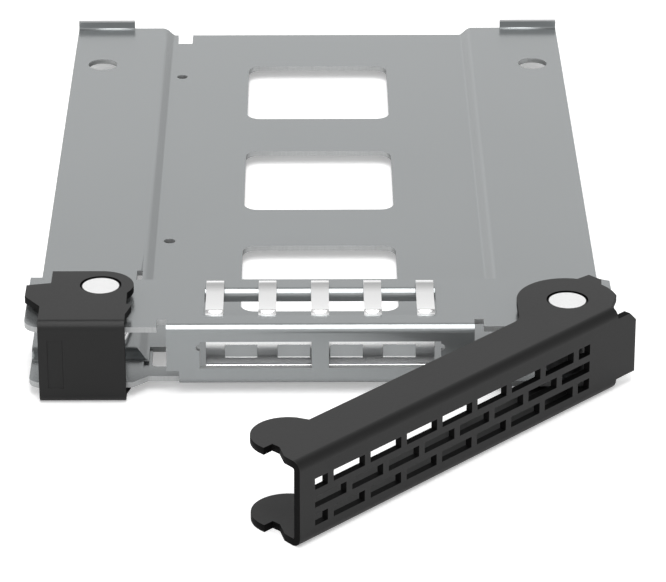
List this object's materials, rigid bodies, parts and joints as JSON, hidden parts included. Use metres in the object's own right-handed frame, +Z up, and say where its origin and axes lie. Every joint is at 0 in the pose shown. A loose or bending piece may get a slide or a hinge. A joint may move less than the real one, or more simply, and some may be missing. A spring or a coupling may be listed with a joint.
{
  "type": "hard drive tray",
  "caption": "Folded steel tray for a 2.5-inch drive with a sprung grounding clip, a ventilated swing lever at the front and a pivoting latch button.",
  "frame": {"origin": "centre of the four drive screw holes, on the face of the shoulders that the drive rests on", "axes": "+X to the right seen from the front, +Y to the rear of the tray, +Z up; the front with the lever is at -Y"},
  "size_m": [0.0735, 0.1528, 0.0106],
  "materials": {
    "plated_steel": "plain plated sheet, fine grain, semi-matt",
    "spring_steel": "bright, smooth",
    "black_paint": "semi-matt black coating",
    "bright_steel": "bright, turned",
    "washer_plastic": "matt dark"
  },
  "bodies": {
    "tray": {"tray": "plated_steel", "grounding_clip": "spring_steel", "lever_pivot_pin": "bright_steel", "lever_upper_washer": "washer_plastic", "lever_lower_washer": "washer_plastic", "button_pivot_pin": "bright_steel", "button_upper_washer": "washer_plastic", "button_lower_washer": "washer_plastic", "button_return_spring": "spring_steel"},
    "lever": {"lever": "black_paint"},
    "latch_button": {"latch_button": "black_paint"}
  },
  "joints": [
    {"name": "lever_hinge", "type": "hinge", "parent": "tray", "child": "lever", "pos_m": [0.0297, -0.0575, 0], "axis": [0, 0, 1], "range_deg": [-46, 0]},
    {"name": "button_hinge", "type": "hinge", "parent": "tray", "child": "latch_button", "pos_m": [-0.02655, -0.05295, 0], "axis": [0, 0, 1], "range_deg": [-4.5, 0], "stiffness_Nm_per_rad": 0.02}
  ]
}
